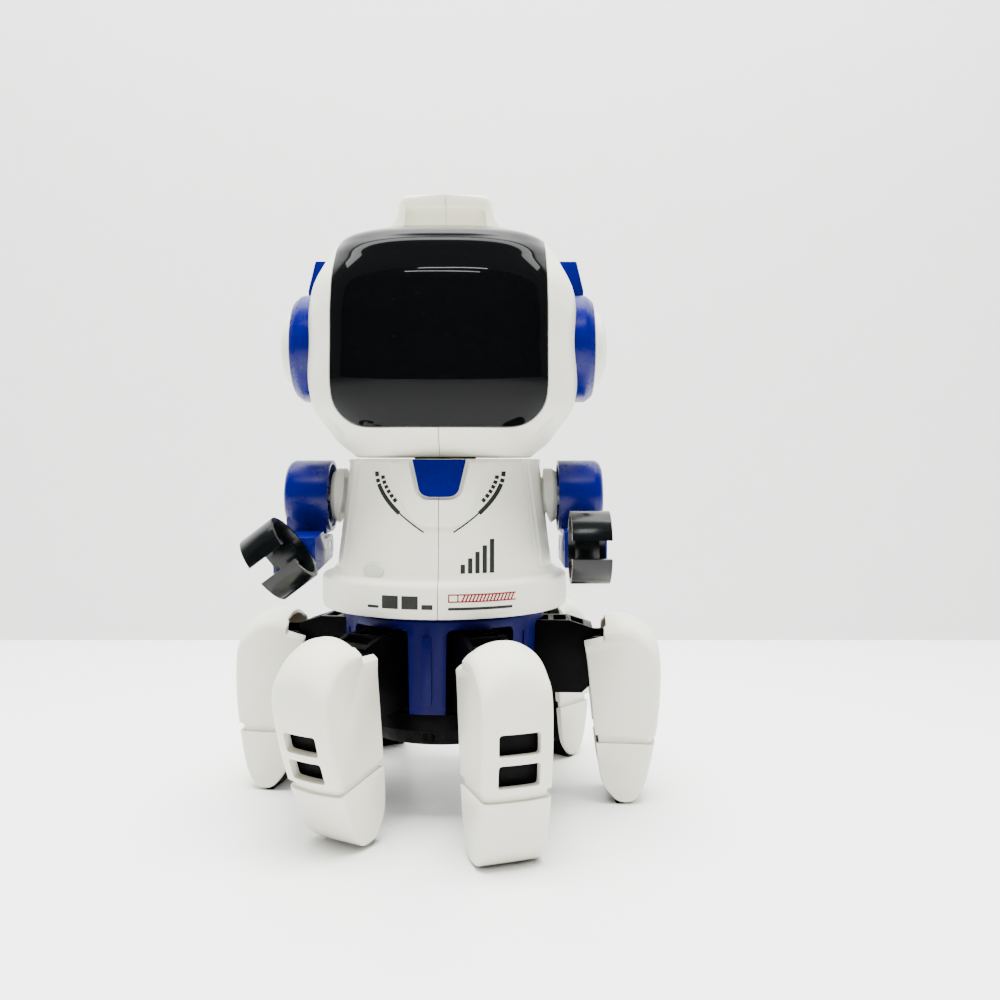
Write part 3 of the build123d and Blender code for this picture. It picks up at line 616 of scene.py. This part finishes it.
def cheek_dent(points):
    """Sliver-shaped recess under each lower corner of the visor."""
    for side in (-1, 1):
        centre = np.array([side * 31.2, -24.0, 118.2])
        along = np.array([-side * 0.58, -0.35, -0.74])
        along /= np.linalg.norm(along)
        across = np.cross(along, np.array([side * 0.5, -0.85, 0]))
        across /= np.linalg.norm(across)
        offset = points - centre
        u = (offset @ along) / 3.9
        v = (offset @ across) / 1.15
        depth = np.clip(1 - u * u - v * v, 0, 1) ** 0.5 * 1.1
        front = points[..., 1] < -10
        inward = (HEAD_CENTRE - points) / np.linalg.norm(HEAD_CENTRE - points, axis=-1)[..., None]
        points = points + inward * (depth * front)[..., None]
    return points


def open_seam(points, side):
    """Ease one half's points away from the centre line, in place."""
    points[..., 0] += side * SEAM_GAP * np.exp(-np.abs(points[..., 0]) / SEAM_ROUNDING)


def head_half(name, side, node):
    """Half of the head shell, from the visor's edge to the back of the head."""
    turns = np.linspace(-pi / 2, pi / 2, 221)
    if side < 0:
        turns = turns + pi
    gap = 0.25 / 42
    start = edge_reach(turns) + gap
    rows = 120
    share = np.linspace(0, 1, rows) ** 1.15
    reach = start[None, :] + (pi - 0.02 - start[None, :]) * share[:, None]
    points = cheek_dent(polar_points(np.broadcast_to(turns, reach.shape), reach))
    open_seam(points, side)
    obj = mesh_object(name, points.reshape(-1, 3), grid_faces(rows, len(turns)), WHITE)
    facing_out(obj, HEAD_CENTRE)
    thicken(obj, 1.8, INSIDE)
    round_edges(obj, 0.32, 50.0, 3)
    return finish(obj, "head", (node,), 40.0)


def make_visor():
    """The glossy dome inside the head's front opening."""
    turns = np.linspace(-pi, pi, 360, endpoint=False)
    rows = 70
    end = edge_reach(turns)
    reach = end[None, :] * np.linspace(0.004, 1, rows)[:, None]
    points = polar_points(np.broadcast_to(turns, reach.shape), reach)
    verts = points.reshape(-1, 3)
    faces = grid_faces(rows, len(turns), closed=True)
    faces.append(tuple(range(len(turns))))
    obj = mesh_object("visor_dome", verts, faces, VISOR)
    facing_out(obj, HEAD_CENTRE)
    thicken(obj, 1.6)
    round_edges(obj, 0.3, 50.0, 3)
    finish(obj, "head", ("visor",), 40.0)


def make_handle():
    """Both halves of the carry handle, with a flared foot and a recessed front."""
    recess_y = HANDLE_Y + HANDLE_RECESS - 2 * HANDLE_HALF_DEPTH
    for side, name in ((1, "handle_left"), (-1, "handle_right")):
        outline = fillet_path(
            [(0.06, 175), (24.0, 175), (20.6, 182.0), (16.1, 187.6), (14.6, 194.5), (0.06, 194.5)],
            [0, 0, 5, 6, 3.6, 0], closed=True,
        )
        outline = [(side * x, z) for x, z in outline]
        weights = [0.0 if abs(x) < 1 else 1.0 for x, _ in outline]
        obj = slab(name, outline, HANDLE_HALF_DEPTH, 1.6, WHITE, 5, weights)
        moved(obj, shift(0, HANDLE_Y, 0))
        recess = fillet_path(
            [(-2, 172), (15.2, 172), (12.7, 190.8), (-2, 190.8)], [0, 0, 2.4, 0], closed=True
        )
        tool = slab("tool", [(side * x, z) for x, z in recess], HANDLE_HALF_DEPTH, 0.5, WHITE, 2)
        moved(tool, shift(0, recess_y, 0))
        cut(obj, tool)
        round_edges(obj, 0.25, 55.0, 2)
        finish(obj, "head")


def make_ears():
    """Blue ear rings and the white caps domed over them."""
    centre = (0, HEAD_CENTRE[1], HEAD_CENTRE[2])
    ring_profile = fillet_path(
        [
            (0.1, 40.0), (15.4, 40.0), (17.1, 40.6), (17.1, 45.0),
            (15.2, 47.3), (13.2, 47.5), (12.8, 44.7), (0.1, 44.7),
        ],
        [0, 0, 0.4, 2.4, 1.4, 0.4, 0.3, 0],
    )
    cap_profile = fillet_path(
        [(0.1, 44.6), (12.6, 44.6), (12.6, 47.6), (10.9, 49.9), (6.0, 51.7), (0.1, 52.2)],
        [0, 0, 1.2, 2.2, 6.0, 0],
    )
    for side, word in ((1, "left"), (-1, "right")):
        ring_side = [(radius, side * x) for radius, x in ring_profile]
        ring = lathe("ear_ring_" + word + "_rounded", ring_side, BLUE, EAR_STEPS, "X", centre)
        finish(ring, "head", ("ear_ring_" + word,), 40.0)
        cap_side = [(radius, side * x) for radius, x in cap_profile]
        cap = lathe("ear_cap_" + word + "_domed", cap_side, WHITE, EAR_STEPS, "X", centre)
        finish(cap, "head", ("ear_cap_" + word,), 40.0)


# ---------------------------------------------------------------- torso


def soft_step(value, low, high):
    """0 below low, 1 above high, eased between."""
    t = np.clip((value - low) / (high - low), 0, 1)
    return t * t * (3 - 2 * t)


def trapezoid_distance(x, z, top_half, low_half, bottom, rounding):
    """Signed distance, negative inside, to a trapezoid that hangs from the neck line."""
    lean = (top_half - low_half) / (TORSO_TOP_Z - bottom)
    scale = sqrt(1 + lean * lean)
    flank = (np.abs(x) - low_half - lean * (z - bottom)) / scale + rounding
    floor = bottom - z + rounding
    outside = np.sqrt(np.maximum(flank, 0) ** 2 + np.maximum(floor, 0) ** 2)
    return outside + np.minimum(np.maximum(flank, floor), 0) - rounding


# Upright ribs on each side panel: degrees behind its edge, spread in degrees, height.
PANEL_RIBS = (4.6, 9.2)
RIB_SPREAD = 0.75
RIB_HEIGHT = 0.55


def torso_relief(x, z, azimuth):
    """Raised and sunk features of the torso's front and sides."""
    collar = trapezoid_distance(x, z, 15.0, 8.4, 89.0, 5.0)
    relief = 1.0 * (1 - soft_step(collar, -1.0, 1.0))
    groove = trapezoid_distance(x, z, 8.9, 6.2, 96.0, 3.0)
    relief -= 1.5 * (1 - soft_step(groove, -0.35, 0.15))
    side = np.abs(azimuth)
    lean = radians(3.5) * (TORSO_TOP_Z - z) / 36
    panel = side - radians(50.5) - lean
    relief -= 1.2 * soft_step(panel, 0, radians(0.7)) * (1 - soft_step(side, radians(128), radians(129)))
    for rib in PANEL_RIBS:
        relief += RIB_HEIGHT * np.exp(-((panel - radians(rib)) / radians(RIB_SPREAD)) ** 2)
    return relief


def torso_point(azimuth, radius, z, body_share):
    """Points on the torso's skin, with a share of its relief."""
    x = radius * np.sin(azimuth)
    grown = radius + torso_relief(x, z, azimuth) * body_share
    return np.stack([grown * np.sin(azimuth), -grown * np.cos(azimuth), np.broadcast_to(z, grown.shape)], -1)


def torso_radius(z):
    """Radius of the torso's cone at a height."""
    share = (z - BELT_TOP_Z) / (TORSO_TOP_Z - BELT_TOP_Z)
    return TORSO_BASE_RADIUS + share * (NECK_RADIUS - TORSO_BASE_RADIUS)


def run_through(*stops):
    """Even steps through several (stop, count) marks, each mark kept exactly."""
    values = [stops[0][0]]
    for (start, _), (end, count) in zip(stops, stops[1:]):
        values.extend(np.linspace(start, end, count + 1)[1:])
    return values


def make_torso():
    """Both halves of the body shell, open at the back for the battery door and the switch."""
    outline = fillet_path(
        [(36.8, 62.0), (38.9, 62.0), (39.2, 64.0), (39.2, 71.9), (36.3, 72.6), (torso_radius(74), 74)],
        [0, 0.9, 2.0, 1.7, 1.2, 0], 6,
    )
    heights = run_through(
        (DOOR_HEIGHTS[0], 0), (DOOR_HEIGHTS[1], 78),
        (SWITCH_HEIGHTS[0], 4), (SWITCH_HEIGHTS[1], 9), (107.2, 7),
    )
    profile = [(r, z, 0.0) for r, z in outline[:-1]]
    for z in heights:
        relief_share = float(soft_step(z, 73.4, 74.6) * (1 - soft_step(z, 106.6, 107.6) * 0.4))
        profile.append((torso_radius(z), z, relief_share))
    profile += [(NECK_RADIUS - 0.25, 107.8, 0.3), (NECK_RADIUS - 0.9, 108.0, 0.0), (11.0, 108.0, 0.0)]
    columns = 1 + DOOR_COLUMNS + SWITCH_COLUMNS + BACK_COLUMNS
    for side, word in ((1, "left"), (-1, "right")):
        rows = []
        for r, z, share in profile:
            reach = torso_radius(np.clip(z, *DOOR_HEIGHTS))
            door = pi - asin(DOOR_HALF_WIDTH / reach)
            switch = pi - asin(SWITCH_HALF_WIDTH / reach)
            marks = ((0, 0), (door, DOOR_COLUMNS), (switch, SWITCH_COLUMNS), (pi, BACK_COLUMNS))
            azimuths = side * np.array(run_through(*marks))
            rows.append(torso_point(azimuths, np.full(columns, r), z, share))
        points = np.stack(rows)
        open_seam(points, side)
        faces = []
        for index, face in enumerate(grid_faces(len(rows), columns)):
            row, column = divmod(index, columns - 1)
            low = profile[row][1] + 0.01
            in_door = column >= DOOR_COLUMNS and DOOR_HEIGHTS[0] < low < DOOR_HEIGHTS[1]
            past_switch = column >= DOOR_COLUMNS + SWITCH_COLUMNS
            in_switch = past_switch and SWITCH_HEIGHTS[0] < low < SWITCH_HEIGHTS[1]
            if not in_door and not in_switch:
                faces.append(face)
        obj = mesh_object("torso_" + word, points.reshape(-1, 3), faces, WHITE)
        facing_out(obj, (side * 8, 0, 85))
        thicken(obj, 1.7, INSIDE)
        round_edges(obj, 0.25, 50.0, 2)
        finish(obj, "torso", ("torso_shell_" + word,), 40.0)


def make_chest_insert():
    """Blue panel that hangs from the neck line, rounded at its lower corners."""
    rows = 30
    columns = 36
    verts = []
    top = 107.9
    bottom = 97.0
    top_half = 7.9
    bottom_half = 5.4
    corner = 2.4
    proud = 0.62
    for i in range(rows):
        v = i / (rows - 1)
        z = bottom + (top - bottom) * v
        half = bottom_half + (top_half - bottom_half) * v
        if z < bottom + corner:
            half -= corner - sqrt(max(0.0, corner ** 2 - (bottom + corner - z) ** 2))
        for j in range(columns):
            x = half * (2 * j / (columns - 1) - 1)
            radius = torso_radius(z) + proud
            verts.append((x, -sqrt(radius ** 2 - x * x), z))
    obj = mesh_object("chest_panel", verts, grid_faces(rows, columns), BLUE)
    facing_out(obj, (0, 0, 100))
    thicken(obj, 1.9)
    round_edges(obj, 0.45, 50.0, 4)
    finish(obj, "torso", ("chest_insert",), 40.0)


def on_torso(x, z, lift, belt=False):
    """A spot on the torso's front, from its front view place."""
    radius = BELT_RADIUS if belt else torso_radius(z)
    azimuth = asin(x / radius)
    if not belt:
        radius += float(torso_relief(np.array(x), np.array(z), np.array(azimuth)))
    radius += lift
    return (radius * sin(azimuth), -radius * cos(azimuth), z)


PRINT_LIFT = 0.05


def print_strip(name, left_edge, right_edge, material, belt=False):
    """A printed band between two rows of front view points."""
    verts = []
    for a, b in zip(left_edge, right_edge):
        for t in np.linspace(0, 1, 5):
            x = a[0] + (b[0] - a[0]) * t
            z = a[1] + (b[1] - a[1]) * t
            verts.append(on_torso(x, z, PRINT_LIFT, belt))
    return mesh_object(name, verts, grid_faces(len(left_edge), 5), material)


def print_box(name, x0, x1, z0, z1, material, belt=False, lean=0.0):
    """A printed bar, its top edge leaning along X."""
    steps = np.linspace(0, 1, max(2, int(abs(x1 - x0)) + 2))
    low = [(x0 + (x1 - x0) * t, z0) for t in steps]
    high = [(x0 + (x1 - x0) * t + lean, z1) for t in steps]
    return print_strip(name, low, high, material, belt)


def joined(name, parts):
    """One object from several, in the first one's place."""
    mesh = bpy.data.meshes.new(name)
    work = bmesh.new()
    looks = []
    for part in parts:
        material = part.data.materials[0]
        if material not in looks:
            looks.append(material)
        first = len(work.faces)
        work.from_mesh(part.data)
        work.faces.ensure_lookup_table()
        for face in work.faces[first:]:
            face.material_index = looks.index(material)
        bpy.data.objects.remove(part)
    work.to_mesh(mesh)
    work.free()
    for material in looks:
        mesh.materials.append(material)
    obj = bpy.data.objects.new(name, mesh)
    bpy.context.scene.collection.objects.link(obj)
    return obj


def arc_band(side, start, end, inner, outer):
    """Edges of a band that follows the curved racing stripe beside the collar."""
    inward, inward_power = 14.2, 1.6
    down, down_power = 17.2, 0.85
    first = []
    second = []
    for t in np.linspace(start, end, 18):
        x = 18.2 - inward * t ** inward_power
        z = 104.3 - down * t ** down_power
        slope_x = -inward * inward_power * t ** (inward_power - 1)
        slope_z = -down * down_power * max(t, 0.02) ** (down_power - 1)
        length = sqrt(slope_x ** 2 + slope_z ** 2)
        nx = slope_z / length
        nz = -slope_x / length
        first.append((side * (x - nx * inner), z - nz * inner))
        second.append((side * (x - nx * outer), z - nz * outer))
    return first, second


# Printed bars on the belt: from and to across, from and to up.
BELT_MARKS = (
    (-20.6, -17.2, 65.0, 65.8), (-16.2, -11.4, 65.0, 68.8),
    (-10.4, -5.6, 65.0, 68.8), (-4.6, -1.4, 65.0, 66.4),
)
RED_BARS = (
    (3.0, 22.4, 69.0, 69.4), (3.0, 22.4, 67.0, 67.4), (3.0, 3.4, 67.4, 69.0), (5.6, 6.0, 67.4, 69.0),
)


def make_prints():
    """Racing stripes, rising level bars and belt marks, all without lettering."""
    parts = []
    for side in (-1, 1):
        parts.append(print_strip("stripe", *arc_band(side, 0.2, 0.64, 0.0, 1.3), PRINT))
        parts.append(print_strip("stripe", *arc_band(side, 0.64, 1.0, 0.3, 0.75), PRINT))
        for start in (0.0, 0.08, 0.15):
            parts.append(print_strip("stripe", *arc_band(side, start, start + 0.05, 0.0, 1.3), PRINT))
        for start in (0.05, 0.13, 0.21, 0.29, 0.37, 0.45):
            parts.append(print_strip("stripe", *arc_band(side, start, start + 0.055, -1.75, -0.55), PRINT))
    for step in range(5):
        x0 = 6.4 + step * 2.1
        parts.append(print_box("level_bar", x0, x0 + 1.3, 74.8, 77.4 + step * 1.8, PRINT))
    for x0, x1, z0, z1 in BELT_MARKS:
        parts.append(print_box("belt_mark", x0, x1, z0, z1, PRINT, True))
    for x0, x1, z0, z1 in RED_BARS:
        parts.append(print_box("belt_bar", x0, x1, z0, z1, RED_PRINT, True))
    for i in range(15):
        x0 = 6.8 + i * 1.0
        parts.append(print_box("belt_hatch", x0, x0 + 0.5, 67.4, 69.0, RED_PRINT, True, 0.7))
    parts.append(print_box("belt_line", 3.0, 21.4, 64.8, 65.6, PRINT, True))
    prints = joined("printed_marks", parts)
    facing_out(prints, (0, 0, 85))
    finish(prints, "torso")


# ---------------------------------------------------------------- legs


# Side outline of a leg from the foot's contact point, flowing except at its first three points.
LEG_OUTLINE = [
    (-13.0, 53.4), (-7.0, 55.2), (-6.9, 57.6), (-1.5, 58.7), (4.6, 57.0), (8.4, 54.0), (10.6, 50.2),
    (11.7, 44.5), (12.0, 37.2), (11.6, 28.0), (10.5, 19.0), (9.3, 11.8), (8.0, 6.4), (6.0, 2.9), (3.2, 0.75),
    (-1.0, 0.8), (-4.0, 3.4), (-6.2, 6.6), (-7.4, 11.0), (-8.6, 19.0), (-11.0, 37.0),
]
LEG_CORNERS = (0, 1, 2)


def crowned(obj):
    """Dome the leg's top across its width, crown its outer face and narrow the foot."""
    for vertex in obj.data.vertices:
        x, y, z = (c / MM for c in vertex.co)
        edge = (abs(y) / LEG_HALF_WIDTH) ** 2.2
        outward = float(soft_step(np.array(x - FOOT_RADIUS), 2.0, 8.0))
        upper = float(soft_step(np.array(z), 42.0, 57.0))
        narrow = 0.97 + 0.03 * float(soft_step(np.array(z), 0.0, 22.0))
        moved_to = (x - LEG_FACE_CROWN * edge * outward, y * narrow, z - LEG_TOP_FALL * edge * upper)
        vertex.co = tuple(c * MM for c in moved_to)
    obj.data.update()
    return obj


def leg_cover_shape(name):
    """The white cover of a leg standing upright along +X."""
    outline = [(FOOT_RADIUS + x, z) for x, z in flowing_path(LEG_OUTLINE, LEG_CORNERS, 6)]
    weights = []
    for x, z in outline:
        outer = soft_step(np.array(x - FOOT_RADIUS), -6.5, 3.0)
        weights.append(float(0.22 + 0.78 * outer))
    cover = crowned(slab(name, outline, LEG_HALF_WIDTH, 1.5, WHITE, 6, weights, 7))
    inside_path = flowing_path(LEG_OUTLINE, LEG_CORNERS, 4)
    inner = [(FOOT_RADIUS + x * 0.86 - 0.8, 2.4 + z * 0.925) for x, z in inside_path]
    for inward in (0.0, -4.0, -8.0):
        hollow = [(x + inward, z) for x, z in inner]
        cut(cover, crowned(slab("tool", hollow, LEG_HALF_WIDTH - LEG_WALL, 0.6, INSIDE, 2, None, 7)))
    cut(cover, block((FOOT_RADIUS - 8, -8.1, -3), (FOOT_RADIUS + 3.0, 8.1, 6), 0.5))
    cut(cover, block((FOOT_RADIUS - 16, -7.6, 38), (FOOT_RADIUS - 6.2, 7.6, 66), 0.6))
    for low, high in WINDOWS:
        cut(cover, block((FOOT_RADIUS + 5, -5.8, low), (FOOT_RADIUS + 20, 5.8, high), 0.9))
    groove = block((FOOT_RADIUS - 20, -14, FOOT_GROOVE[0]), (FOOT_RADIUS + 20, 14, FOOT_GROOVE[1]))
    core_outline = [(FOOT_RADIUS + (x - FOOT_RADIUS) * 0.9, z) for x, z in outline]
    cut(groove, crowned(slab("core", core_outline, LEG_HALF_WIDTH - GROOVE_DEPTH, 1.6, GREY, 4, weights, 7)))
    cut(cover, groove)
    return round_edges(cover, 0.2, 48.0, 2)


def make_legs():
    """A cover and an inner frame for each leg, turned and tilted as its joint stands."""
    pattern = leg_cover_shape("leg_cover_pattern")
    tilts = {joint["child"]: joint for joint in frame["joints"]}
    for leg in LEGS:
        joint = tilts[leg]
        axis = Vector(joint["axis"])
        heading = atan2(-axis.x, axis.y)
        low, high = joint["range_deg"]
        tilt = radians(LEG_MOST_TILT - high)
        pivot = Matrix.Translation((LEG_PIVOT[0] * MM, 0, LEG_PIVOT[1] * MM))
        place = Matrix.Rotation(heading, 4, "Z") @ pivot @ Matrix.Rotation(tilt, 4, "Y") @ pivot.inverted()
        mesh = pattern.data.copy()
        obj = bpy.data.objects.new(leg + "_shell", mesh)
        bpy.context.scene.collection.objects.link(obj)
        moved(obj, place)
        finish(obj, leg, (leg + "_cover",), 32.0)
        refined(leg + "_frame", 0.2)
    bpy.data.objects.remove(pattern)


# ---------------------------------------------------------------- arms, pelvis, all else


# CAD pieces that get rounded edges of this width.
REFINED = {
    "claw_left": 0.3, "claw_right": 0.3, "forearm_left": 0.35, "forearm_right": 0.35,
    "upper_arm_left": 0.3, "upper_arm_right": 0.3, "leg_carrier_a": 0.25, "leg_carrier_b": 0.25,
    "base_plate": 0.4, "ear_fin_left": 0.5, "ear_fin_right": 0.5,
    "shoulder_cup_left": 0.4, "shoulder_cup_right": 0.4, "touch_button": 0.4,
    "battery_door": 0.3, "power_switch": 0.2,
}


# The studio in millimetres.
ROOM_REACH = 2500
WALL_Y = 268


def upright(name, half_width, y, height, material):
    """An upright sheet across the view."""
    corners = [(-half_width, y, 0), (half_width, y, 0), (half_width, y, height), (-half_width, y, height)]
    return mesh_object(name, corners, [(0, 1, 2, 3)], material)


def make_studio():
    """Pale floor and wall, soft overhead light, and a dim room in front."""
    floor_look = plastic("studio_floor", tone(244, 244, 243), 0.35, 0.02, 0.99)
    wall_look = plastic("studio_wall", tone(226, 228, 225), 0.8, 0.02, 0.98)
    reach = ROOM_REACH
    corners = [(-reach, -reach, 0), (reach, -reach, 0), (reach, WALL_Y, 0), (-reach, WALL_Y, 0)]
    floor = mesh_object("floor", corners, [(0, 1, 2, 3)], floor_look)
    wall = upright("wall", reach, WALL_Y, 3000, wall_look)
    room_look = plastic("dim_room", tone(22, 22, 24), 0.9, 0.02, 0.9)
    room = upright("dim_room", 2400, -900, 1500, room_look)

    world = bpy.data.worlds.new("soft_room")
    world.use_nodes = True
    world.node_tree.nodes["Background"].inputs["Color"].default_value = (1, 1, 1, 1)
    world.node_tree.nodes["Background"].inputs["Strength"].default_value = 0.3
    bpy.context.scene.world = world

    def panel(name, place, target, size, power):
        light = bpy.data.lights.new(name, "AREA")
        light.shape = "RECTANGLE"
        light.size = size[0]
        light.size_y = size[1]
        light.energy = power
        obj = bpy.data.objects.new(name, light)
        bpy.context.scene.collection.objects.link(obj)
        obj.location = place
        obj.rotation_euler = (Vector(target) - Vector(place)).to_track_quat("-Z", "Y").to_euler()
        return obj

    overhead = panel("overhead", (0.0, -0.15, 1.1), (0, 0, 0.1), (0.7, 0.5), 50.0)
    overhead.visible_glossy = False
    for place in ((-0.02, -0.60, 0.84), (0.05, -0.56, 0.96)):
        panel("front_strip", place, (0, 0, 0.12), (0.36, 0.014), 1.1)
    fill = panel("front_fill", (0.0, -0.72, 0.32), (0, 0, 0.09), (1.0, 0.5), 1.6)
    fill.visible_glossy = False
    panel("wall_wash", (0.0, 0.1, 1.0), (0, WALL_Y * MM, 0.25), (1.6, 0.2), 10.0)


def make_camera():
    """The view of the reference: level, a little to the robot's left, horizon above the middle."""
    camera = bpy.data.cameras.new("camera")
    camera.sensor_width = 36.0
    camera.lens = 34.67
    camera.shift_y = -0.037
    camera.clip_start = 0.01
    obj = bpy.data.objects.new("camera", camera)
    bpy.context.scene.collection.objects.link(obj)
    obj.location = (0.0178, -0.313, 0.1068)
    obj.rotation_euler = (pi / 2, 0, 0)
    bpy.context.scene.camera = obj


make_camera()
make_studio()
head_half("head_left", 1, "head_shell_left")
head_half("head_right", -1, "head_shell_right")
make_visor()
make_handle()
make_ears()
make_torso()
make_chest_insert()
make_prints()
make_legs()
for node, bevel in REFINED.items():
    refined(node, bevel)
refined("pelvis_drum", 0.3, PELVIS_BLUE)
dress_cad_nodes()
